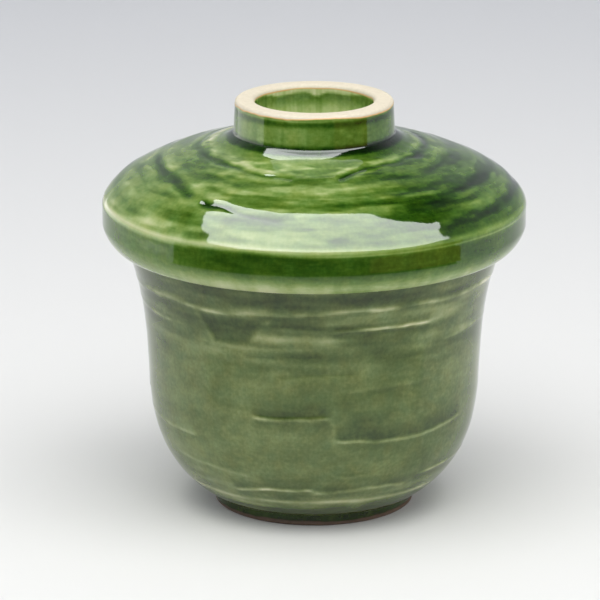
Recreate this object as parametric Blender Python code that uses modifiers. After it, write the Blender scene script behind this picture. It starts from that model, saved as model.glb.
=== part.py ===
"""Lidded steaming cup: a thrown and glazed stoneware cup with a lid that lifts off.

Two pieces of fired clay, both turned about +Z. The cup stands on its foot ring at z = 0. The lid
covers the cup's mouth: its skirt hangs outside the lip and its seat rests on top of the lip.
All lengths are in metres.
"""

import math

import bpy

# overall size
WIDTH = 0.0900
HEIGHT = 0.0880
TURN_STEPS = 72
FIT_GAP = 0.0003

# cup: foot ring
FOOT_OUTER_R = 0.0213
FOOT_INNER_R = 0.0170
FOOT_TOP_R = 0.0216
FOOT_TOP_Z = 0.0024
FOOT_EDGE = 0.0004
RECESS_Z = 0.0024

# cup: belly, wall and flare, each stretch a curve from its lower end to its upper end
BELLY_R = 0.0230
BELLY_Z = 0.0029
BELLY_LOW_HANDLE = (0.0323, 0.0091)
BELLY_HIGH_HANDLE = (0.0349, 0.0175)
WAIST_R = 0.0354
WAIST_Z = 0.0290
FLARE_LOW_HANDLE = (0.0358, 0.0398)
FLARE_HIGH_HANDLE = (0.0364, 0.0472)
NECK_R = 0.0401
NECK_Z = 0.0570

# cup: lip and inside
LIP_R = 0.0404
RIM_Z = 0.0640
LIP_THICKNESS = 0.0037
FLOOR_Z = 0.0068
FLOOR_R = 0.0080
BOWL_HANDLES = ((0.0235, 0.0068), (0.0304, 0.0125))
BOWL_R = 0.0316
BOWL_Z = 0.0290
THROAT_HANDLES = ((0.0322, 0.0430), (0.0362, 0.0480))

# lid: knob
KNOB_TOP_R = 0.0168
KNOB_BASE_R = 0.01707
KNOB_BASE_Z = 0.0820
KNOB_BORE_R = 0.0126
KNOB_EDGE = 0.0009
KNOB_FLOOR_Z = 0.0796
KNOB_FLOOR_R = 0.0050
RECESS_HANDLES = ((0.0122, 0.0796), (0.0126, 0.0802))
COVE_HANDLES = ((0.0171, 0.0809), (0.01725, 0.08088))
COVE_R = 0.0180
COVE_Z = 0.08035
APRON_HANDLES = ((0.0197, 0.07915), (0.0203, 0.0788))

# lid: dome, band and skirt
DOME_R = 0.0216
DOME_Z = 0.07846
DOME_HANDLES = ((0.0284, 0.07675), (0.0431, 0.0730))
SHOULDER_Z = 0.0658
BAND_LOW_Z = 0.0614
NOSE_HANDLES = ((0.0446, 0.0591), (0.0427, 0.0571))
NOSE_R = 0.0418
NOSE_Z = 0.0568
SKIRT_HANDLES = ((0.0414, 0.0568), (0.0411, 0.0570))
SKIRT_INNER_R = 0.0411
SKIRT_LOW_Z = 0.0576
SEAT_EDGE = 0.0009
SEAT_INNER_R = 0.0363
UNDERSIDE_HANDLES = ((0.0345, 0.0700), (0.0250, 0.0759))
UNDERSIDE_R = 0.0100
UNDERSIDE_Z = 0.0759

BAND_R = WIDTH / 2
SEAT_Z = RIM_Z + FIT_GAP


def curve(start, start_handle, end_handle, end, count):
    """Points of a cubic curve after its start, up to and including its end."""
    points = []
    for i in range(1, count + 1):
        t = i / count
        a = (1 - t) ** 3
        b = 3 * (1 - t) ** 2 * t
        c = 3 * (1 - t) * t**2
        d = t**3
        r = a * start[0] + b * start_handle[0] + c * end_handle[0] + d * end[0]
        z = a * start[1] + b * start_handle[1] + c * end_handle[1] + d * end[1]
        points.append((r, z))
    return points


def arc(centre, radius_r, radius_z, start_deg, end_deg, count):
    """Points of an elliptical arc, both ends included. 0 degrees points away from the axis."""
    points = []
    for i in range(count + 1):
        angle = math.radians(start_deg + (end_deg - start_deg) * i / count)
        r = centre[0] + radius_r * math.cos(angle)
        z = centre[1] + radius_z * math.sin(angle)
        points.append((r, z))
    return points


def cup_profile():
    """Half section of the cup, from the middle of its floor over the lip to the foot's recess."""
    lip_half = LIP_THICKNESS / 2
    lip_centre = (LIP_R - lip_half, RIM_Z - lip_half)
    throat = (LIP_R - LIP_THICKNESS, lip_centre[1])
    bowl = (BOWL_R, BOWL_Z)
    neck = (NECK_R, NECK_Z)
    waist = (WAIST_R, WAIST_Z)
    belly = (BELLY_R, BELLY_Z)
    floor_edge = (FLOOR_R, FLOOR_Z)

    inside = [(0.0, FLOOR_Z), floor_edge]
    inside += curve(floor_edge, BOWL_HANDLES[0], BOWL_HANDLES[1], bowl, 9)
    inside += curve(bowl, THROAT_HANDLES[0], THROAT_HANDLES[1], throat, 6)
    lip = arc(lip_centre, lip_half, lip_half, 180, 0, 8)[1:]
    outside = [neck]
    outside += curve(neck, FLARE_HIGH_HANDLE, FLARE_LOW_HANDLE, waist, 8)
    outside += curve(waist, BELLY_HIGH_HANDLE, BELLY_LOW_HANDLE, belly, 9)
    foot = [
        (FOOT_TOP_R, FOOT_TOP_Z),
        (FOOT_OUTER_R, FOOT_EDGE),
        (FOOT_OUTER_R - FOOT_EDGE, 0.0),
        (FOOT_INNER_R + FOOT_EDGE, 0.0),
        (FOOT_INNER_R, FOOT_EDGE),
        (FOOT_INNER_R - 2 * FOOT_EDGE, RECESS_Z),
        (0.0, RECESS_Z),
    ]
    return inside + lip + outside + foot


def lid_profile():
    """Half section of the lid, from the knob's recess down the outside and back under the dome."""
    bore_top = (KNOB_BORE_R, HEIGHT - KNOB_EDGE)
    floor_edge = (KNOB_FLOOR_R, KNOB_FLOOR_Z)
    knob_foot = (KNOB_BASE_R, KNOB_BASE_Z)
    cove = (COVE_R, COVE_Z)
    dome = (DOME_R, DOME_Z)
    band_low = (BAND_R, BAND_LOW_Z)
    nose = (NOSE_R, NOSE_Z)
    skirt_low = (SKIRT_INNER_R, SKIRT_LOW_Z)
    seat_edge = (SEAT_INNER_R, SEAT_Z + SEAT_EDGE)
    under_edge = (UNDERSIDE_R, UNDERSIDE_Z)

    recess = [(0.0, KNOB_FLOOR_Z), floor_edge]
    recess += curve(floor_edge, RECESS_HANDLES[0], RECESS_HANDLES[1], bore_top, 8)
    ring = arc((KNOB_BORE_R + KNOB_EDGE, bore_top[1]), KNOB_EDGE, KNOB_EDGE, 180, 90, 3)[1:]
    ring += arc((KNOB_TOP_R - KNOB_EDGE, bore_top[1]), KNOB_EDGE, KNOB_EDGE, 90, 0, 3)
    side = [knob_foot]
    side += curve(knob_foot, COVE_HANDLES[0], COVE_HANDLES[1], cove, 5)
    side += curve(cove, APRON_HANDLES[0], APRON_HANDLES[1], dome, 4)
    top = curve(dome, DOME_HANDLES[0], DOME_HANDLES[1], (BAND_R, SHOULDER_Z), 12)
    band = [band_low]
    band += curve(band_low, NOSE_HANDLES[0], NOSE_HANDLES[1], nose, 7)
    skirt = curve(nose, SKIRT_HANDLES[0], SKIRT_HANDLES[1], skirt_low, 2)
    skirt.append((SKIRT_INNER_R, SEAT_Z - SEAT_EDGE))
    seat = arc((SKIRT_INNER_R - SEAT_EDGE, SEAT_Z - SEAT_EDGE), SEAT_EDGE, SEAT_EDGE, 0, 90, 3)[1:]
    seat += arc((SEAT_INNER_R + SEAT_EDGE, seat_edge[1]), SEAT_EDGE, SEAT_EDGE, 270, 180, 3)
    under = curve(seat_edge, UNDERSIDE_HANDLES[0], UNDERSIDE_HANDLES[1], under_edge, 9)
    under.append((0.0, UNDERSIDE_Z))
    return recess + ring + side + top + band + skirt + seat + under


def glaze(name, colour, roughness):
    """Glossy glaze over fired clay."""
    material = bpy.data.materials.new(name)
    material.use_nodes = True
    shader = material.node_tree.nodes["Principled BSDF"]
    shader.inputs["Base Color"].default_value = (*colour, 1.0)
    shader.inputs["Roughness"].default_value = roughness
    shader.inputs["Metallic"].default_value = 0.0
    material.diffuse_color = (*colour, 1.0)
    return material


def turned(name, profile, axis_z, material, collection):
    """Solid of revolution about Z. Its origin is on the axis, at height axis_z."""
    mesh = bpy.data.meshes.new(name)
    points = [(r, 0.0, z - axis_z) for r, z in profile]
    edges = [(i, i + 1) for i in range(len(points) - 1)]
    mesh.from_pydata(points, edges, [])
    mesh.materials.append(material)
    piece = bpy.data.objects.new(name, mesh)
    piece.location = (0.0, 0.0, axis_z)
    collection.objects.link(piece)
    screw = piece.modifiers.new("turning", "SCREW")
    screw.axis = "Z"
    screw.angle = math.tau
    screw.steps = TURN_STEPS
    screw.render_steps = TURN_STEPS
    screw.use_merge_vertices = True
    screw.merge_threshold = 0.00001
    screw.use_smooth_shade = True
    return piece


def main():
    for item in list(bpy.data.objects):
        bpy.data.objects.remove(item, do_unlink=True)
    collection = bpy.data.collections.new("lidded_cup")
    bpy.context.scene.collection.children.link(collection)
    cup_glaze = glaze("cup_glaze", (0.130, 0.215, 0.070), 0.14)
    lid_glaze = glaze("lid_glaze", (0.055, 0.200, 0.025), 0.10)
    turned("cup", cup_profile(), 0.0, cup_glaze, collection)
    turned("lid", lid_profile(), SEAT_Z, lid_glaze, collection)


main()
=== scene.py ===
"""Looks of the lidded cup: thrown stoneware under a transparent green copper glaze.

Both pieces are turned shapes on a grid of rows down the profile and columns round the axis. The
clay's relief and the thickness of the glaze over it are worked out on that grid. The relief moves
the mesh, and the glaze's thickness drives its colour: thin over ridges and edges, thick in grooves.
Profiles are in millimetres here and become metres in the mesh. Glaze thickness has no unit: 1 is
the usual thickness. The studio is in metres.
"""

import math

import bpy
import numpy as np
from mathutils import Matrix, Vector


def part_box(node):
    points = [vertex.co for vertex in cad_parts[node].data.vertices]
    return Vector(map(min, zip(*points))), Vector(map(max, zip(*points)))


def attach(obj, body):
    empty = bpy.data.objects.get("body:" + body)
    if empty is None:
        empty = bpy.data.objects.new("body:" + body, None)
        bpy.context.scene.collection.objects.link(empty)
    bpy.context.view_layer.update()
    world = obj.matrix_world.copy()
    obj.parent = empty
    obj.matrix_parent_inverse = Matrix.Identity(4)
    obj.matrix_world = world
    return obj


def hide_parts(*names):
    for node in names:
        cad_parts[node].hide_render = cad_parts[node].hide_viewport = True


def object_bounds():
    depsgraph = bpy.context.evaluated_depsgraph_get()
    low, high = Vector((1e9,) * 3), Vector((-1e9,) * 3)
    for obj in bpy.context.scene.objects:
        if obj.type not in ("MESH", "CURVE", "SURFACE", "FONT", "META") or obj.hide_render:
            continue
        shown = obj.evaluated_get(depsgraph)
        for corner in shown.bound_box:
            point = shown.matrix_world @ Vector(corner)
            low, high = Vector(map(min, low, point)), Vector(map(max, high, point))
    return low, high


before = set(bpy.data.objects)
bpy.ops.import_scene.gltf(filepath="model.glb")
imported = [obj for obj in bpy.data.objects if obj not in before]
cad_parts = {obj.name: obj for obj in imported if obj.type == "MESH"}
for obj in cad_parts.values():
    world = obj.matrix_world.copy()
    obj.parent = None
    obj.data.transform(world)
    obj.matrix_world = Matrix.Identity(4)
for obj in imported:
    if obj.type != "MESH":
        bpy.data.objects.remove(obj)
cad_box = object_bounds()

MM = 0.001
STEPS = 384
DEGREES = np.arange(STEPS) * 360.0 / STEPS - 180.0
NOISE_STEP = 0.25

# main heights and radii: the first ones taken from the imported model, the rest given
WIDTH = (cad_box[1].x - cad_box[0].x) / MM
HEIGHT = cad_box[1].z / MM
RIM_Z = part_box("cup")[1].z / MM
NOSE_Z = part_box("lid")[0].z / MM
LIP_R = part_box("cup")[1].x / MM
BAND_R = WIDTH / 2
SEAT_Z = RIM_Z + 0.3
SHOULDER_Z = 65.8
BAND_LOW_Z = 61.4
RING_EDGE = 0.9
KNOB_LOW = (17.1, 81.1)
COVE_END = (17.65, 80.37)
DOME_START = (21.6, 78.46)

# clay under the glaze, and what it looks like bare: dark and light grain, then its toasted edge. The cup's
# bare foot is brown clay darkened further with painted shade.
STONEWARE = (0.80, 0.74, 0.58)
CREAM = ((0.52, 0.46, 0.34), (0.58, 0.52, 0.395), (0.58, 0.34, 0.12))
BROWN_CLAY_AND_SHADE = ((0.075, 0.042, 0.022), (0.11, 0.065, 0.038), (0.055, 0.028, 0.014))

# how much light of each colour a thickness of 1 takes out, and how uneven the thickness is
LID_GLAZE = dict(absorption=(1.72, 1.17, 2.55), bare_colours=CREAM, streaks=0.11, runs=0.03, mottle=0.10, seed=3.1)
CUP_GLAZE = dict(absorption=(2.03, 1.63, 2.68), bare_colours=BROWN_CLAY_AND_SHADE, streaks=0.045, runs=0.03, mottle=0.115, seed=7.7)
TINT_SHIFT = (0.045, 0.0, -0.04)
THINNEST_GLAZE = 0.10
GLAZE_IOR = 1.52
GLAZE_ROUGHNESS = 0.05
BARE_ROUGHNESS = 0.7
BUMP_DISTANCE = 0.00003

# floor colour at the middle and 0.75 m out; the darkening and cooling outward is painted light falloff
FLOOR_NEAR = (0.74, 0.74, 0.73)
FLOOR_FAR = (0.63, 0.64, 0.67)
AMBIENT = (0.64, 0.65, 0.665)
ROOM_LOW = (0.47, 0.48, 0.50)
ROOM_DARK = (0.03, 0.03, 0.03)
BLACK_CARD = (0.05, 0.05, 0.05)
WARM_WHITE = (1.0, 0.99, 0.97)

CAMERA_DISTANCE = 0.938
CAMERA_ELEVATION = math.radians(15.92)
CAMERA_TARGET = (-0.0030, 0.0, 0.0437)


# ---------------------------------------------------------------- profiles


def line(start, end):
    return [start, end]


def bezier(start, start_handle, end_handle, end):
    t = np.linspace(0, 1, 60)[:, None]
    a, b, c, d = (np.array(p, float) for p in (start, start_handle, end_handle, end))
    return (1 - t) ** 3 * a + 3 * (1 - t) ** 2 * t * b + 3 * (1 - t) * t**2 * c + t**3 * d


def arc(centre, radius, start_deg, end_deg):
    angle = np.radians(np.linspace(start_deg, end_deg, 24))
    return np.stack([centre[0] + radius * np.cos(angle), centre[1] + radius * np.sin(angle)], 1)


def resample(points, spacing):
    points = np.asarray(points, float)
    along = np.concatenate([[0], np.cumsum(np.hypot(*np.diff(points, axis=0).T))])
    wanted = np.linspace(0, along[-1], max(1, round(along[-1] / spacing)) + 1)
    return np.stack([np.interp(wanted, along, points[:, k]) for k in (0, 1)], 1)


class Profile:
    """Rows of a turned piece: radius, height, distance along, outward normal and zone."""

    def __init__(self, stretches):
        points, zones = [], []
        for zone, spacing, shape in stretches:
            rows = resample(shape, spacing)
            rows = rows if not points else rows[1:]
            points.extend(rows)
            zones.extend([zone] * len(rows))
        points = np.array(points)
        self.r, self.z = points[:, 0], points[:, 1]
        self.zone = np.array(zones)
        self.s = np.concatenate([[0], np.cumsum(np.hypot(*np.diff(points, axis=0).T))])
        tangent = np.gradient(points, self.s, axis=0)
        tangent /= np.linalg.norm(tangent, axis=1)[:, None]
        self.normal = np.stack([-tangent[:, 1], tangent[:, 0]], 1)
        self.rows = len(points)

    def s_at(self, zone, z):
        """Distance along the profile at which a zone passes a height."""
        k = np.flatnonzero(self.zone == zone)
        order = np.argsort(self.z[k])
        return float(np.interp(z, self.z[k][order], self.s[k][order]))


def cup_profile():
    """The cup from the middle of its floor up inside, over the lip, down and under the foot."""
    lip_half = 1.85
    lip = (LIP_R - lip_half, RIM_Z - lip_half)
    throat, bowl = (LIP_R - 2 * lip_half, lip[1]), (31.6, 29.0)
    neck, waist, belly = (40.1, 57.0), (35.4, 29.0), (23.0, 2.9)
    floor_z, base_z, foot_edge = 6.8, 2.4, 0.4
    foot_out, foot_in = 20.9, 17.4
    return Profile(
        [
            ("floor", 2.6, line((0.0, floor_z), (8.0, floor_z))),
            ("bowl", 2.2, bezier((8.0, floor_z), (23.5, floor_z), (30.4, 12.5), bowl)),
            ("throat", 2.2, bezier(bowl, (32.2, 43.0), (36.2, 48.0), throat)),
            ("lip", 0.5, arc(lip, lip_half, 180, 0)),
            ("neck", 0.5, line((LIP_R, lip[1]), neck)),
            ("wall", 0.36, bezier(neck, (36.4, 47.2), (35.8, 39.8), waist)),
            ("belly", 0.36, bezier(waist, (34.9, 17.5), (32.3, 9.1), belly)),
            ("foot", 0.3, bezier(belly, (22.2, 2.6), (21.6, 2.7), (21.5, 2.0))),
            ("foot", 0.3, line((21.5, 2.0), (foot_out + foot_edge, foot_edge))),
            ("foot", 0.15, arc((foot_out, foot_edge), foot_edge, 0, -90)),
            ("foot", 0.6, line((foot_out, 0.0), (foot_in, 0.0))),
            ("foot", 0.15, arc((foot_in, foot_edge), foot_edge, 270, 180)),
            ("foot", 0.4, line((foot_in - foot_edge, foot_edge), (16.2, base_z))),
            ("base", 2.6, line((16.2, base_z), (0.0, base_z))),
        ]
    )


def lid_profile():
    """The lid from the middle of the knob's recess out over the dome and back underneath."""
    edge = RING_EDGE
    bore_r, knob_r = 12.6, 16.8
    top = HEIGHT - edge
    floor_z, under_z = 79.6, 75.9
    skirt_r, seat_r = 41.1, 36.3
    nose = (41.8, NOSE_Z)
    cove_low = [(19.5, 79.15), (20.2, 78.83), DOME_START]
    return Profile(
        [
            ("recess", 1.25, line((0.0, floor_z), (5.0, floor_z))),
            ("recess", 0.4, bezier((5.0, floor_z), (12.2, floor_z), (bore_r, 80.2), (bore_r, top))),
            ("ring", 0.2, arc((bore_r + edge, top), edge, 180, 90)),
            ("ring", 0.3, line((bore_r + edge, HEIGHT), (knob_r - edge, HEIGHT))),
            ("ring", 0.2, arc((knob_r - edge, top), edge, 90, 0)),
            ("knob", 0.35, line((knob_r, top), KNOB_LOW)),
            ("cove", 0.12, bezier(KNOB_LOW, (17.12, 80.65), (17.3, 80.6), COVE_END)),
            ("cove", 0.25, bezier(COVE_END, *cove_low)),
            ("dome", 0.36, bezier(DOME_START, (28.4, 76.75), (43.1, 73.0), (BAND_R, SHOULDER_Z))),
            ("band", 0.36, line((BAND_R, SHOULDER_Z), (BAND_R, BAND_LOW_Z))),
            ("nose", 0.32, bezier((BAND_R, BAND_LOW_Z), (44.6, 59.1), (42.7, 57.1), nose)),
            ("skirt", 0.3, bezier(nose, (41.4, NOSE_Z), (skirt_r, 57.0), (skirt_r, 57.6))),
            ("skirt", 1.0, line((skirt_r, 57.6), (skirt_r, SEAT_Z - edge))),
            ("seat", 0.5, arc((skirt_r - edge, SEAT_Z - edge), edge, 0, 90)),
            ("seat", 0.8, line((skirt_r - edge, SEAT_Z), (seat_r + edge, SEAT_Z))),
            ("seat", 0.5, arc((seat_r + edge, SEAT_Z + edge), edge, 270, 180)),
            ("under", 1.6, bezier((seat_r, SEAT_Z + edge), (34.5, 70.0), (25.0, under_z), (10.0, under_z))),
            ("under", 2.0, line((10.0, under_z), (0.0, under_z))),
        ]
    )


# ---------------------------------------------------------------- fields on the grid


def smooth(value, low, high):
    """0 below low, 1 above high, and smooth between."""
    t = np.clip((value - low) / (high - low), 0, 1)
    return t * t * (3 - 2 * t)


def bump(value, centre, width):
    return np.exp(-(((value - centre) / width) ** 2))


class Field:
    """A piece's rows as columns of numbers, and seeded random fields over them."""

    def __init__(self, profile, seed):
        self.profile = profile
        self.r, self.z, self.s = (rows[:, None] for rows in (profile.r, profile.z, profile.s))
        self.rng = np.random.default_rng(seed)
        self.count = int(profile.s[-1] / NOISE_STEP) + 80

    def where(self, *zones):
        return np.isin(self.profile.zone, zones)[:, None]

    def noise(self, degrees, length, drift=None):
        """Random field, smooth over so many degrees round and mm along."""
        spectrum = np.fft.rfft2(self.rng.standard_normal((self.count, STEPS)))
        along = np.fft.fftfreq(self.count, NOISE_STEP)[:, None]
        around = np.fft.rfftfreq(STEPS, 360 / STEPS)[None]
        spectrum *= np.exp(-2 * math.pi**2 * ((along * length) ** 2 + (around * degrees) ** 2))
        field = np.fft.irfft2(spectrum, s=(self.count, STEPS))
        field /= field.std()
        position = self.s / NOISE_STEP + 20
        if drift is not None:
            position = position + drift[None] / NOISE_STEP
        position = np.clip(position, 0, self.count - 2) + np.zeros((1, STEPS))
        low = position.astype(int)
        part = position - low
        column = np.arange(STEPS)[None] + np.zeros_like(low)
        return field[low, column] * (1 - part) + field[low + 1, column] * part

    def round(self, degrees):
        """Random value that changes only round the piece."""
        spectrum = np.fft.rfft(self.rng.standard_normal(STEPS))
        spectrum *= np.exp(-2 * (math.pi * np.fft.rfftfreq(STEPS, 360 / STEPS) * degrees) ** 2)
        values = np.fft.irfft(spectrum, n=STEPS)
        return values / values.std()


def stroke_line(points, jitter):
    """Position of a stroke at every column and its strength there, from (degree, position)."""
    degrees = np.array([p[0] for p in points], float)
    places = np.array([p[1] for p in points], float)
    position = np.interp(DEGREES, degrees, places) + jitter
    fade = 1.6
    strength = smooth(DEGREES, degrees[0] - fade, degrees[0] + fade)
    strength = strength * (1 - smooth(DEGREES, degrees[-1] - fade, degrees[-1] + fade))
    return position[None], strength[None]


def turned_to(points, turn):
    return [(degree + turn, place) for degree, place in points]


# ---------------------------------------------------------------- the cup's surface

# Ledges left by the turning tool, each (degree round from the front, height in mm) from end to
# end, then how much glaze has pooled above it, how dark it is below it, partly pooled glaze and
# partly painted shadow under the ledge, how far in mm the pool reaches, how pale the ledge itself
# is, and its width in mm. The first one goes all the way round.
RING_LEDGE = [(-180, 51.2), (-76, 50.4), (-50, 51.0), (-32, 50.2), (0, 51.2), (36, 51.7), (180, 51.2)]
CUP_LEDGES = [
    (RING_LEDGE, 0.10, 0.30, 1.6, 0.62, 0.75),
    ([(-110, 46.4), (-73, 45.9), (-54, 45.5)], 0.0, 0.22, 1.5, 0.50, 0.4),
    ([(-14, 47.6), (3, 47.2)], 0.25, 0.1, 1.5, 0.15, 0.5),
    ([(6, 46.9), (17, 47.5), (21, 47.3), (32, 47.7), (40, 47.4)], 0.30, 0.42, 1.5, 0.70, 0.36),
    ([(48, 42.2), (58, 42.7), (74, 42.8), (96, 42.2)], 0.0, 0.2, 1.4, 0.40, 0.4),
    ([(-24, 40.4), (2, 40.8)], 0.24, 0.0, 1.4, 0.06, 0.5),
    ([(-12, 36.6), (14, 36.9)], 0.18, 0.0, 1.6, 0.06, 0.5),
    ([(10, 33.6), (44, 34.6)], 0.0, 0.12, 1.6, 0.12, 0.6),
    ([(-100, 21.8), (-72, 21.4), (-46, 21.4)], 0.0, 0.15, 1.0, 0.55, 0.36),
    ([(-21, 27.4), (-8, 27.6), (5, 27.9)], 0.34, 0.22, 2.6, 0.60, 0.42),
    ([(7, 22.5), (29, 22.1), (45, 22.2), (60, 23.2)], 0.30, 0.10, 3.4, 0.50, 0.42),
    ([(-59, 14.8), (-42, 14.3), (-25, 13.8)], 0.1, 0.1, 1.2, 0.30, 0.5),
    ([(-33, 9.6), (-15, 10.9), (-1, 11.0)], 0.32, 0.28, 1.8, 0.70, 0.4),
    ([(0, 10.6), (18, 10.7), (38, 10.4)], 0.26, 0.1, 1.6, 0.34, 0.5),
    ([(43, 12.2), (59, 12.7), (76, 13.5), (98, 13.0)], 0.2, 0.2, 1.2, 0.70, 0.36),
    ([(7, 14.3), (20, 14.0)], 0.22, 0.05, 1.0, 0.2, 0.5),
]
BACK_LEDGES = 26
BACK_LEDGE_HEIGHTS = [8.5, 11.0, 14.5, 19.0, 22.5, 27.5, 33.0, 39.5, 43.5, 47.3]
BACK_LEDGE_POOLS_AND_SHADE = [(0.32, 0.1), (0.15, 0.3), (0.0, 0.15), (0.24, 0.05)]

# millimetres round the wall per degree, at the scraped patch and at the upright seam lower down
PATCH_MM_PER_DEGREE = 0.64
SEAM_MM_PER_DEGREE = 0.6
PATCH_MIDDLE, PATCH_HALF, PATCH_FOOT = -28, 12.0, 44.0
SEAM_DEGREE = 5.5
ROLL_Z, PALE_Z = 3.6, 7.0


def random_ledges(rng):
    """Ledges for the rest of the wall, away from the front, in the same manner."""
    ledges = []
    for _ in range(BACK_LEDGES):
        start = rng.uniform(78, 250)
        span = rng.uniform(12, 48)
        height = rng.choice(BACK_LEDGE_HEIGHTS)
        height += rng.uniform(-0.9, 0.9)
        tilt = rng.uniform(-0.9, 0.9)
        points = [(start, height), (start + span / 2, height + tilt / 2), (start + span, height + tilt)]
        above, below = rng.choice(BACK_LEDGE_POOLS_AND_SHADE)
        ledges.append((points, above, below, rng.uniform(1.0, 2.8), rng.uniform(0.15, 0.7), 0.4))
    return ledges


def ledge_marks(field):
    """Glaze and relief that the ledges add, with painted shadow in the dark below each ledge."""
    ledges = CUP_LEDGES + random_ledges(field.rng)
    wobble = [0.10 * field.round(2.0) + 0.16 * field.round(8) for _ in ledges]
    shades = [np.clip(0.8 + 0.3 * field.round(1.5) + 0.2 * field.round(5), 0.2, 1.2)[None] for _ in ledges]
    glaze = relief = 0
    for (points, above, below, reach, pale, width), jitter, shade in zip(ledges, wobble, shades):
        goes_round = points is RING_LEDGE
        for turn in (0,) if goes_round else (-360, 0):
            position, strength = stroke_line(turned_to(points, turn), jitter)
            if goes_round:
                strength = np.ones_like(strength)
            gap = field.z - position
            over = smooth(gap, 0.3, 0.9) * np.exp(-((np.clip(gap, 0, None) / reach) ** 2)) * strength
            # dark below the ledge: partly pooled glaze, partly painted shadow under the ledge
            under = smooth(-gap, 0.1, 0.5) * np.exp(-np.clip(-gap, 0, None) / reach) * strength
            on_ledge = bump(gap, 0.1, width) * strength * shade
            glaze = glaze + 1.5 * above * over + 1.3 * below * under - 0.85 * pale * on_ledge
            relief = relief + 0.11 * pale * bump(gap, 0.1, width + 0.15) * strength
            relief = relief - 0.10 * above * over - 0.20 * below * under
    return glaze, relief


def patch_marks(field):
    """Glaze and relief of a scraped patch with rounded lower corners, full of glaze."""
    middle = PATCH_MIDDLE + 0.7 * field.round(6)[None]
    half = PATCH_HALF - 1.05 * np.clip(49.5 - field.z, 0, 6)
    side = (half - np.abs(DEGREES[None] - middle)) * PATCH_MM_PER_DEGREE
    within = np.minimum(side, field.z - PATCH_FOOT + 0.25 * field.round(5)[None])
    below_top = 1 - smooth(field.z, 49.0, 50.2)
    glaze = 0.50 * smooth(within, -0.6, 1.2) - 0.13 * bump(within, -1.0, 0.7)
    return glaze * below_top, -0.05 * smooth(within, -0.3, 0.9) * below_top


def seam_glaze(field):
    """A short upright seam with a pool to its left."""
    aside = (DEGREES[None] - SEAM_DEGREE - 0.4 * field.round(4)[None]) * SEAM_MM_PER_DEGREE
    height = smooth(field.z, 20.8, 22.0) * (1 - smooth(field.z, 26.0, 27.4))
    return height * (0.16 * np.exp(aside / 2.5) * (aside < 0) - 0.20 * bump(aside, 0.3, 0.8))


def cup_surface(profile):
    """Relief of the cup in mm, thickness of its glaze with painted shade under the lid's rim and below the
    ledges, and where its clay is bare.
    """
    field = Field(profile, 11)
    z = field.z
    outside = field.where("wall", "belly") & (z > 3.2)
    inside = field.where("floor", "bowl", "throat", "base")

    streaky = 0.03 + 0.13 * smooth(z, 36, 43) + 0.09 * (1 - smooth(z, 8, 16))
    glaze = 1.06 + streaky * (0.7 * field.noise(4, 0.4) + 0.7 * field.noise(10, 0.8))
    glaze += 0.035 * field.noise(2.4, 1.3) + 0.05 * field.noise(6, 3.0) + 0.06 * field.noise(16, 6)
    relief = 0.022 * field.noise(20, 2.2) + 0.008 * field.noise(7, 0.8)
    for marks in (ledge_marks, patch_marks):
        more_glaze, more_relief = marks(field)
        glaze += more_glaze * outside
        relief += more_relief * outside
    glaze += seam_glaze(field) * outside

    # painted shade under the lid's rim, where the lid's shadow falls on the cup; a pool in the roll above the
    # foot, with a pale line over it
    glaze += 0.30 * smooth(z, 51.8, 53.4) * (z < 60)
    pale_line = bump(z, PALE_Z + 0.3 * field.round(15)[None], 0.6)
    glaze += (0.30 * bump(z, ROLL_Z, 1.9) - 0.55 * pale_line) * outside
    glaze += 0.75 * field.where("foot")
    glaze += inside * (0.15 + 0.8 * (1 - smooth(z, 6, 12)))
    glaze -= 0.45 * bump(z, RIM_Z, 0.7) * field.where("lip", "neck")
    relief = relief * smooth(z, 3.4, 5.5) * (1 - smooth(z, 55.5, 57.0)) * outside

    bare_edge = 0.95 + 0.16 * field.round(8)[None] + 0.05 * field.round(1.5)[None]
    bare = (1 - smooth(z, bare_edge - 0.35, bare_edge + 0.35)) * field.where("foot", "belly")
    return relief, glaze, bare


# ---------------------------------------------------------------- the lid's surface

# Grooves of the turning, each (degree round from the front, radius in mm), then its depth and width
LONG_GROOVE = [(-214, 23.6), (-150, 24.2), (-84, 24.4), (-60, 24.3), (-42, 25.2), (-27, 26.5), (-10, 26.7)]
LID_GROOVES = [
    (LONG_GROOVE, 1.2, 0.75),
    ([(11, 26.6), (18, 25.0), (28, 23.8), (48, 23.4), (75, 23.0), (120, 23.4)], 1.0, 0.85),
    ([(-150, 33.6), (-110, 33.0), (-76, 33.0), (-57, 34.2), (-44, 36.4)], 0.9, 0.9),
    ([(-38, 37.4), (-30, 38.0), (-18, 39.4), (-9, 39.9)], 1.3, 0.75),
    ([(24, 38.9), (36, 38.1), (51, 37.1), (69, 36.4), (90, 36.8), (140, 35.2), (190, 34.0)], 0.9, 1.1),
    ([(-120, 42.6), (-84, 43.0), (-71, 43.0), (-58, 42.7)], 0.8, 0.8),
    ([(-37, 44.0), (-30, 43.6)], 0.7, 0.8),
    ([(36, 43.5), (50, 43.0), (65, 42.6), (90, 42.7), (150, 42.9), (205, 42.6)], 0.9, 0.8),
    ([(-18, 33.3), (8, 33.5), (34, 32.6)], 0.5, 1.0),
    ([(3, 35.6), (28, 35.8)], 0.5, 0.9),
    ([(-70, 29.6), (-30, 30.4)], 0.3, 0.9),
    ([(35, 29.3), (80, 29.0), (130, 29.8)], 0.5, 1.1),
    ([(150, 39.4), (215, 38.6)], 0.6, 0.8),
]
CREASE_Z = 66.6
KNOB_POOL_Z = 86.1
BARE_EDGE_Z = HEIGHT - 0.85
RING_MIDDLE_R = 14.7


def right_side():
    """How far each column is in the thicker glaze, which is strongest 50 degrees to the right."""
    away = DEGREES - 50
    return np.exp(-((away / np.where(away < 0, 32, 70)) ** 2))[None]


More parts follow.
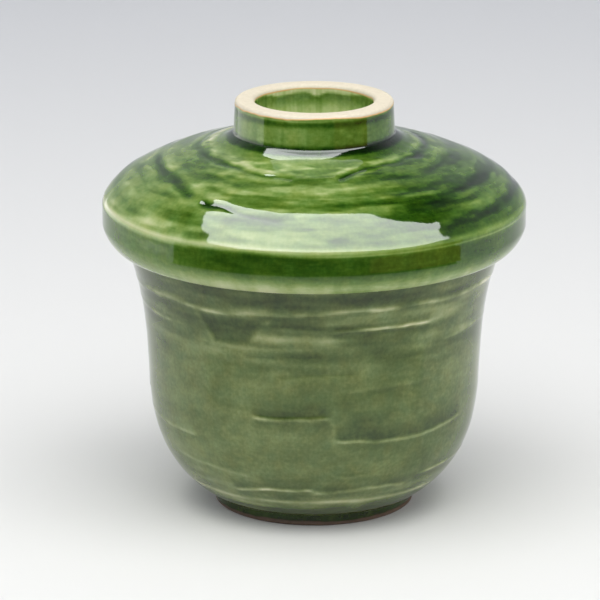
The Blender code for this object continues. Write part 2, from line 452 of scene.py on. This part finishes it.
def brush_marks(field):
    """Glaze and relief of brush strokes that drift in and out as they go round."""
    angle = np.radians(DEGREES)
    drift = 0.9 * np.sin(angle + 0.6) + 0.5 * np.sin(2 * angle + 2.0) + 0.25 * np.sin(5 * angle)
    coarse = field.noise(14, 1.3, drift)
    medium = field.noise(6, 0.75, drift)
    fine = field.noise(2.2, 0.4, drift)
    specks = field.noise(0.8, 0.35)
    strokes = smooth(medium + 0.4 * fine, -0.4, 1.1) - 0.4
    glaze = 0.15 * coarse + 0.46 * strokes + 0.08 * fine + 0.05 * specks
    return glaze, -0.030 * coarse - 0.006 * medium


def groove_marks(field):
    """Glaze and relief of the grooves, each with a low ridge on both sides."""
    glaze = relief = 0
    for points, depth, breadth in LID_GROOVES:
        jitter = 0.16 * field.round(3) + 0.15 * field.round(12)
        width = breadth * (1 + 0.22 * field.round(8)[None])
        vary = np.clip(0.95 + 0.30 * field.round(9) + 0.15 * field.round(2), 0.5, 1.4)[None]
        for turn in (-360, 0, 360):
            position, strength = stroke_line(turned_to(points, turn), jitter)
            gap = field.r - position
            strength = strength * vary * depth
            cut = bump(gap, 0, width) * strength
            ridge = (bump(gap, -2.3 * breadth, 1.3) + 0.4 * bump(gap, 2.2 * breadth, 0.9)) * strength
            glaze = glaze + 0.95 * cut - 0.32 * ridge
            relief = relief - 0.12 * cut + 0.10 * ridge
    return glaze, relief


def band_glaze(field, past, dome, runs, patches):
    """Thin glaze along the crease, a pool below it, and thin again at the foot of the band."""
    left_rim = bump(DEGREES, -62, 28)[None]
    left_end = 1 - 0.65 * smooth(-DEGREES, 22, 52)[None]
    pool = smooth(past, 0.7, 1.5) * field.where("dome", "band", "nose")
    foot = smooth(past, 4.1, 8.9) * field.where("band", "nose", "skirt")
    glaze = -bump(past, 0, 0.95) * field.where("dome", "band")
    glaze = glaze - (0.38 * bump(past, -2.0, 1.3) + 0.40 * bump(past, -2.6, 2.0) * left_rim) * dome
    glaze = glaze + left_end * (pool * (1.05 + 0.2 * patches) - foot * (1.33 + 0.07 * runs))
    nose_low = field.profile.s_at("nose", NOSE_Z + 0.4)
    return glaze - 0.05 * bump(field.s, nose_low, 0.9) * field.where("nose")


def knob_glaze(field, runs, patches):
    """Pools under the ring and at the knob's foot, thicker on the right, and a thin top line."""
    z = field.z
    knob = field.where("knob", "cove") * (1 - smooth(field.r, 18.0, 19.0))
    pools = bump(z, KNOB_POOL_Z, 0.7) + 1.5 * (1 - smooth(z, 80.8, 82.0))
    sides = (0.50 * bump(DEGREES, 62, 34) - 0.30 * bump(DEGREES, -62, 26))[None]
    glaze = knob * (pools + sides + 0.04 * runs + 0.12 * patches + 0.22)
    below_ring = np.clip(HEIGHT - RING_EDGE - z, 0, None)
    return glaze - 1.2 * np.exp(-below_ring / 0.35) * field.where("knob")


def recess_glaze(field, runs):
    """Glaze inside the knob: its top edge dips to a point at the back and is thickest there."""
    depth = HEIGHT - RING_EDGE - field.z
    back = (DEGREES[None] + 360) % 360 - 180
    lip = 0.9 + 0.7 * bump(back, -3, 7) - 0.6 * smooth(np.abs(back), 35, 60) + 0.1 * field.round(5)[None]
    glaze = 0.06 * runs + 0.45 * np.exp(-np.clip(depth - lip, 0, None) / 1.5)
    glaze = glaze - 0.58 * smooth(depth, 1.5, 4.5)
    glaze = glaze - 1.15 * (1 - smooth(depth, lip - 0.35, lip + 0.35))
    glaze = glaze + 0.6 * (1 - smooth(field.z, 81.0, 82.0))
    return glaze * field.where("recess")


def ring_bare(field):
    """The knob's ring is wiped clean down to an uneven line on both sides."""
    inner_line = BARE_EDGE_Z + 0.08 * field.round(7)[None]
    outer_line = BARE_EDGE_Z + 0.10 * field.round(9)[None] + 0.04 * field.round(2)[None]
    inner = smooth(field.z, inner_line - 0.3, inner_line + 0.3)
    outer = smooth(field.z, outer_line - 0.3, outer_line + 0.3)
    return field.where("ring", "knob", "recess") * np.where(field.r < RING_MIDDLE_R, inner, outer)


def lid_surface(profile):
    """Relief of the lid in mm, thickness of its glaze, and where its clay is bare."""
    field = Field(profile, 5)
    r = field.r
    on_dome = field.where("dome", "cove")
    rim_fade = 1 - smooth(field.s, profile.s_at("dome", 68.0), profile.s_at("dome", 67.0))
    dome = on_dome * smooth(r, 19.5, 22.0) * rim_fade
    contrast = 1 + 0.35 * right_side()
    front = bump(DEGREES, 0, 30)[None]

    brushed, relief = brush_marks(field)
    glaze = 1.0 + dome * contrast * brushed
    glaze += on_dome * (0.22 + 0.85 * right_side() - 0.30 * front * (1 - smooth(r, 35, 38)))
    glaze += on_dome * 0.18 * smooth(r, 37, 39) * bump(DEGREES, 0, 45)
    grooved, cuts = groove_marks(field)
    glaze += on_dome * contrast * grooved
    relief = dome * relief + on_dome * cuts

    past_crease = field.s - profile.s_at("dome", CREASE_Z) - 0.2 * field.round(14)[None]
    relief += 0.06 * bump(past_crease, 0, 1.0) * field.where("dome", "band")
    runs = field.noise(0.9, 3.5)
    patches = field.noise(14, 6)
    glaze += band_glaze(field, past_crease, dome, runs, patches)
    glaze += knob_glaze(field, runs, patches)
    glaze -= 0.35 * on_dome * bump(r, 22.2, 1.6)
    glaze += recess_glaze(field, runs)
    glaze += 0.18 * field.noise(16, 1.5) * field.where("skirt", "seat", "under")
    return relief, glaze, ring_bare(field)


# ---------------------------------------------------------------- meshes


def turned_mesh(name, profile, relief):
    """Closed mesh of a turned piece. Its first and last rows are single points on the axis."""
    angle = np.radians(DEGREES - 90.0)
    relief = relief.copy()
    relief[0] = relief[-1] = 0
    r = profile.r[:, None] + profile.normal[:, 0:1] * relief
    z = profile.z[:, None] + profile.normal[:, 1:2] * relief
    grid = np.stack([r * np.cos(angle), r * np.sin(angle), z], 2) * MM

    def index(row):
        return 1 + (row - 1) * STEPS

    here = np.arange(STEPS)
    after = (here + 1) % STEPS
    faces = []
    for row in range(1, profile.rows - 2):
        a, b = index(row), index(row + 1)
        faces.append(np.stack([a + here, b + here, b + after, a + after], 1))
    quads = np.concatenate(faces)
    top = np.stack([np.zeros(STEPS, int), 1 + here, 1 + after], 1)
    end = index(profile.rows - 2)
    last_point = index(profile.rows - 1)
    bottom = np.stack([np.full(STEPS, last_point), end + after, end + here], 1)
    mesh = bpy.data.meshes.new(name)
    mesh.from_pydata(on_points(grid).tolist(), [], quads.tolist() + top.tolist() + bottom.tolist())
    mesh.shade_smooth()
    return mesh


def on_points(values):
    """Grid values as one value per vertex of the turned mesh."""
    return np.concatenate([values[0, :1], values[1:-1].reshape(-1, *values.shape[2:]), values[-1, :1]])


def add_attribute(mesh, name, values):
    values = on_points(values).astype(np.float32)
    if values.ndim == 2:
        mesh.attributes.new(name, "FLOAT_VECTOR", "POINT").data.foreach_set("vector", values.ravel())
    else:
        mesh.attributes.new(name, "FLOAT", "POINT").data.foreach_set("value", values)


def turned_piece(name, node, body, profile, surface, material):
    relief, glaze, bare = surface(profile)
    mesh = turned_mesh(name, profile, relief + np.zeros((1, STEPS)))
    shape = (profile.rows, STEPS)
    add_attribute(mesh, "glaze", np.broadcast_to(glaze, shape))
    add_attribute(mesh, "bare", np.broadcast_to(bare, shape))
    # a place round the piece and along it, drawn together near the axis so that nothing fans out
    angle = np.radians(DEGREES)
    reach = np.clip(profile.r / 12.0, 0, 1)[:, None]
    turning = [reach * np.cos(angle)[None], reach * np.sin(angle)[None], profile.s[:, None]]
    add_attribute(mesh, "turning", np.stack([np.broadcast_to(t, shape) for t in turning], 2))
    mesh.materials.append(material)
    piece = bpy.data.objects.new(name, mesh)
    bpy.context.scene.collection.objects.link(piece)
    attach(piece, body)
    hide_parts(node)
    return piece


# ---------------------------------------------------------------- materials


def connect(tree, source, socket):
    if isinstance(source, bpy.types.NodeSocket):
        tree.links.new(source, socket)
    else:
        socket.default_value = source


def calc(tree, operation, *operands):
    node = tree.nodes.new("ShaderNodeMath")
    node.operation = operation
    for operand, socket in zip(operands, node.inputs):
        connect(tree, operand, socket)
    return node.outputs[0]


def vector_calc(tree, operation, vector, other=None):
    node = tree.nodes.new("ShaderNodeVectorMath")
    node.operation = operation
    tree.links.new(vector, node.inputs[0])
    if other:
        node.inputs[1].default_value = other
    return node.outputs["Value"] if operation == "LENGTH" else node.outputs[0]


def attribute(tree, name, output):
    node = tree.nodes.new("ShaderNodeAttribute")
    node.attribute_name = name
    return node.outputs[output]


def coordinates(tree, kind):
    return tree.nodes.new("ShaderNodeTexCoord").outputs[kind]


def noise(tree, vector, scale, detail):
    """Noise from about -1 to 1, with its own scale along each of the vector's axes."""
    stretched = vector_calc(tree, "MULTIPLY", vector, scale)
    texture = tree.nodes.new("ShaderNodeTexNoise")
    texture.inputs["Scale"].default_value = 1.0
    texture.inputs["Detail"].default_value = detail
    tree.links.new(stretched, texture.inputs["Vector"])
    return calc(tree, "MULTIPLY_ADD", texture.outputs["Fac"], 4.0, -2.0)


def ramp(tree, value, low, high):
    node = tree.nodes.new("ShaderNodeMapRange")
    node.interpolation_type = "SMOOTHSTEP"
    connect(tree, value, node.inputs["Value"])
    node.inputs["From Min"].default_value = low
    node.inputs["From Max"].default_value = high
    return node.outputs["Result"]


def mix_colour(tree, factor, a, b):
    node = tree.nodes.new("ShaderNodeMix")
    node.data_type = "RGBA"
    connect(tree, factor, node.inputs[0])
    for source, socket in ((a, node.inputs[6]), (b, node.inputs[7])):
        connect(tree, source if isinstance(source, bpy.types.NodeSocket) else (*source, 1.0), socket)
    return node.outputs[2]


def through_glaze(tree, thick, clay, absorption, tint):
    """Colour of the clay after light has crossed the glaze twice, channel by channel."""
    combine = tree.nodes.new("ShaderNodeCombineColor")
    for clay_part, loss, shift, socket in zip(clay, absorption, TINT_SHIFT, combine.inputs):
        lost = calc(tree, "MULTIPLY", thick, calc(tree, "MULTIPLY_ADD", tint, shift * loss, loss))
        kept = calc(tree, "EXPONENT", calc(tree, "MULTIPLY", lost, -1.0))
        tree.links.new(calc(tree, "MULTIPLY", kept, clay_part), socket)
    return combine.outputs[0]


def glazed(name, clay, absorption, bare_colours, streaks, runs, mottle, seed):
    """Transparent glaze over clay, with bare clay where the "bare" attribute says so."""
    material = bpy.data.materials.new(name)
    material.use_nodes = True
    tree = material.node_tree
    shader = tree.nodes["Principled BSDF"]
    turning = attribute(tree, "turning", "Vector")
    bare = attribute(tree, "bare", "Fac")
    place = vector_calc(tree, "ADD", coordinates(tree, "Object"), (seed, seed * 0.7, seed * 0.3))

    # marks that follow the turning, then grain that is the same in every direction
    brushed = noise(tree, turning, (10.0, 10.0, 1.1), 5.0)
    strokes = noise(tree, turning, (4.5, 4.5, 0.5), 3.0)
    hair = noise(tree, turning, (75.0, 75.0, 0.22), 3.0)
    fine = noise(tree, place, (1300.0,) * 3, 4.0)
    soft = noise(tree, place, (420.0,) * 3, 2.0)
    tint = noise(tree, place, (300.0,) * 3, 4.0)
    grain = noise(tree, place, (2600.0,) * 3, 2.0)

    vary = 1.0
    patterns = (brushed, streaks), (strokes, streaks), (hair, runs), (fine, mottle), (soft, mottle * 0.7)
    for pattern, amount in patterns:
        vary = calc(tree, "MULTIPLY_ADD", pattern, amount, vary)
    thick = calc(tree, "MULTIPLY", attribute(tree, "glaze", "Fac"), vary)
    thick = calc(tree, "MAXIMUM", thick, THINNEST_GLAZE)
    glass = through_glaze(tree, thick, clay, absorption, tint)

    # bare clay colours: dark grain, light grain and toasted edge; the cup's are darkened with painted shade
    dark_grain, light_grain, toasted_edge = bare_colours
    bare_clay = mix_colour(tree, ramp(tree, fine, -1.2, 1.2), dark_grain, light_grain)
    bare_clay = mix_colour(tree, ramp(tree, bare, 0.6, 0.98), toasted_edge, bare_clay)
    colour = mix_colour(tree, ramp(tree, bare, 0.15, 0.5), glass, bare_clay)
    tree.links.new(colour, shader.inputs["Base Color"])

    rough = calc(tree, "MULTIPLY_ADD", soft, 0.012, GLAZE_ROUGHNESS)
    rough = calc(tree, "MULTIPLY_ADD", ramp(tree, bare, 0.3, 0.6), BARE_ROUGHNESS, rough)
    tree.links.new(rough, shader.inputs["Roughness"])
    shader.inputs["IOR"].default_value = GLAZE_IOR

    height = calc(tree, "MULTIPLY_ADD", brushed, 0.025, calc(tree, "MULTIPLY", soft, 0.12))
    grainy = calc(tree, "MULTIPLY", grain, calc(tree, "MULTIPLY", bare, 0.35))
    bumps = tree.nodes.new("ShaderNodeBump")
    bumps.inputs["Strength"].default_value = 1.0
    bumps.inputs["Distance"].default_value = BUMP_DISTANCE
    tree.links.new(calc(tree, "ADD", height, grainy), bumps.inputs["Height"])
    tree.links.new(bumps.outputs[0], shader.inputs["Normal"])
    return material


# ---------------------------------------------------------------- stage, lights and camera


def floor_mesh():
    """Flat disc that curves up into a backdrop all round."""
    flat_r, curve_r, curve_height = 1.0, 0.6, 0.9
    turn = np.linspace(0.1, math.pi / 2, 16)
    radii = np.concatenate([np.linspace(0, flat_r, 21), flat_r + curve_r * np.sin(turn)])
    heights = np.concatenate([np.zeros(21), curve_height * (1 - np.cos(turn))])
    steps = 96
    verts = [(0.0, 0.0, 0.0)]
    faces = []
    for i, (r, z) in enumerate(zip(radii[1:], heights[1:])):
        for k in range(steps):
            angle = math.tau * k / steps
            verts.append((r * math.cos(angle), r * math.sin(angle), z))
            now, after = 1 + i * steps + k, 1 + i * steps + (k + 1) % steps
            if i == 0:
                faces.append((0, now, after))
            else:
                faces.append((now - steps, now, after, after - steps))
    mesh = bpy.data.meshes.new("floor")
    mesh.from_pydata(verts, [], faces)
    mesh.shade_smooth()
    return mesh


def make_floor():
    mesh = floor_mesh()
    material = bpy.data.materials.new("paper")
    material.use_nodes = True
    tree = material.node_tree
    shader = tree.nodes["Principled BSDF"]
    # painted light falloff: the floor darkens and cools from the middle out to 0.75 m
    away = ramp(tree, vector_calc(tree, "LENGTH", coordinates(tree, "Object")), 0.0, 0.75)
    tree.links.new(mix_colour(tree, away, FLOOR_NEAR, FLOOR_FAR), shader.inputs["Base Color"])
    shader.inputs["Roughness"].default_value = 0.9
    shader.inputs["Specular IOR Level"].default_value = 0.1
    mesh.materials.append(material)
    floor = bpy.data.objects.new("floor", mesh)
    bpy.context.scene.collection.objects.link(floor)


def aimed(location, target):
    return (Vector(target) - Vector(location)).to_track_quat("-Z", "Y").to_euler()


def soft_light(name, location, target, size, power, colour):
    """Square studio light that lights the object but isn't seen in its reflections."""
    light = bpy.data.lights.new(name, "AREA")
    light.shape = "RECTANGLE"
    light.size = light.size_y = size
    light.energy = power
    light.color = colour
    lamp = bpy.data.objects.new(name, light)
    lamp.location = location
    lamp.rotation_euler = aimed(location, target)
    lamp.visible_camera = False
    lamp.visible_glossy = False
    bpy.context.scene.collection.objects.link(lamp)


def card(name, corners, colour, strength, fade=None):
    """Flat studio card seen only in reflections. It can fade in over a distance from the axis."""
    mesh = bpy.data.meshes.new(name)
    mesh.from_pydata(corners, [], [tuple(range(len(corners)))])
    material = bpy.data.materials.new(name)
    material.use_nodes = True
    tree = material.node_tree
    tree.nodes.remove(tree.nodes["Principled BSDF"])
    glow = tree.nodes.new("ShaderNodeEmission")
    glow.inputs["Color"].default_value = (*colour, 1.0)
    glow.inputs["Strength"].default_value = strength
    shown = glow.outputs[0]
    if fade:
        blend = tree.nodes.new("ShaderNodeMixShader")
        distance = vector_calc(tree, "LENGTH", coordinates(tree, "Object"))
        tree.links.new(ramp(tree, distance, *fade), blend.inputs[0])
        tree.links.new(tree.nodes.new("ShaderNodeBsdfTransparent").outputs[0], blend.inputs[1])
        tree.links.new(shown, blend.inputs[2])
        shown = blend.outputs[0]
    tree.links.new(shown, tree.nodes["Material Output"].inputs["Surface"])
    mesh.materials.append(material)
    piece = bpy.data.objects.new(name, mesh)
    bpy.context.scene.collection.objects.link(piece)
    piece.visible_camera = piece.visible_diffuse = False
    piece.visible_shadow = piece.visible_transmission = False


def level(outline, height):
    """Corners of a card that lies level."""
    return [(x, y, height) for x, y in outline]


def upright(start, end, low, high):
    """Corners of a card that stands on the line from start to end."""
    return [(*start, low), (*end, low), (*end, high), (*start, high)]


# The softbox overhead is cut to the outline of its reflection, the front half of the room is black,
# and small panels stand at the left, at the right and low in front.
KEY_OUTLINE = [(-0.95, -0.50), (-0.60, -0.14), (-0.42, 0.10), (-0.27, 0.32), (-0.14, 0.31), (-0.08, 0.19),
               (0.20, 0.12), (0.53, 0.07), (1.25, -0.24), (1.35, -0.65), (1.05, -1.15), (-1.0, -1.15)]
FRONT_OUTLINE = [(-1.4, -0.36), (-0.13, -0.035), (0.0, -0.06), (0.13, -0.035),
                 (1.4, -0.36), (1.4, -1.5), (-1.4, -1.5)]
CARDS = [
    ("key_card", level(KEY_OUTLINE, 0.67), (0.97, 0.98, 1.0), 8.3, None),
    ("front_card", level(FRONT_OUTLINE, 0.001), BLACK_CARD, 1.0, (0.07, 0.20)),
    ("front_wall", upright((-1.2, -0.95), (1.2, -0.95), 0.0, 0.55), BLACK_CARD, 1.0, None),
    ("left_panel", upright((-0.26, -0.07), (-0.26, 0.50), 0.0, 0.08), (1.0, 1.0, 0.98), 1.6, None),
    ("brown_card", upright((0.115, -0.225), (0.24, -0.05), 0.0, 0.10), (0.53, 0.35, 0.10), 1.0, None),
    ("small_card", upright((-0.085, -0.33), (0.035, -0.33), 0.0261, 0.0289), (0.9, 0.9, 0.9), 1.1, None),
]
# name, place, what it is aimed at, size, power and colour
LIGHTS = [
    ("key_light", (-0.02, -0.36, 0.88), (0.0, 0.0, 0.03), 0.9, 7.0, WARM_WHITE),
    ("left_light", (-0.75, -0.15, 0.32), (0.0, 0.0, 0.02), 0.5, 0.9, (0.97, 0.99, 1.0)),
    ("right_light", (0.75, -0.20, 0.28), (0.0, 0.0, 0.02), 0.5, 1.7, WARM_WHITE),
]


def make_world():
    """Pale light all round for the surfaces, and a room that darkens overhead for reflections."""
    world = bpy.data.worlds.new("studio")
    bpy.context.scene.world = world
    world.use_nodes = True
    tree = world.node_tree
    background = tree.nodes["Background"]
    glossy = tree.nodes.new("ShaderNodeLightPath").outputs["Is Glossy Ray"]
    direction = tree.nodes.new("ShaderNodeSeparateXYZ")
    tree.links.new(coordinates(tree, "Generated"), direction.inputs[0])
    room = mix_colour(tree, ramp(tree, direction.outputs["Z"], 0.42, 0.85), ROOM_LOW, ROOM_DARK)
    tree.links.new(mix_colour(tree, glossy, AMBIENT, room), background.inputs["Color"])
    background.inputs["Strength"].default_value = 1.0


def make_camera():
    data = bpy.data.cameras.new("camera")
    data.lens = 263.25
    data.sensor_width = 36.0
    data.clip_start, data.clip_end = 0.01, 20.0
    camera = bpy.data.objects.new("camera", data)
    back = CAMERA_DISTANCE * math.cos(CAMERA_ELEVATION)
    up = CAMERA_DISTANCE * math.sin(CAMERA_ELEVATION)
    camera.location = Vector(CAMERA_TARGET) + Vector((0.0, -back, up))
    camera.rotation_euler = aimed(camera.location, CAMERA_TARGET)
    bpy.context.scene.collection.objects.link(camera)
    bpy.context.scene.camera = camera


def make_studio():
    make_floor()
    make_world()
    for light in LIGHTS:
        soft_light(*light)
    for studio_card in CARDS:
        card(*studio_card)
    bpy.context.scene.view_settings.view_transform = "Standard"


make_camera()
make_studio()
lid_material = glazed("lid_glaze_look", STONEWARE, **LID_GLAZE)
cup_material = glazed("cup_glaze_look", STONEWARE, **CUP_GLAZE)
turned_piece("cup_body", "cup", "cup", cup_profile(), cup_surface, cup_material)
turned_piece("lid_body", "lid", "lid", lid_profile(), lid_surface, lid_material)
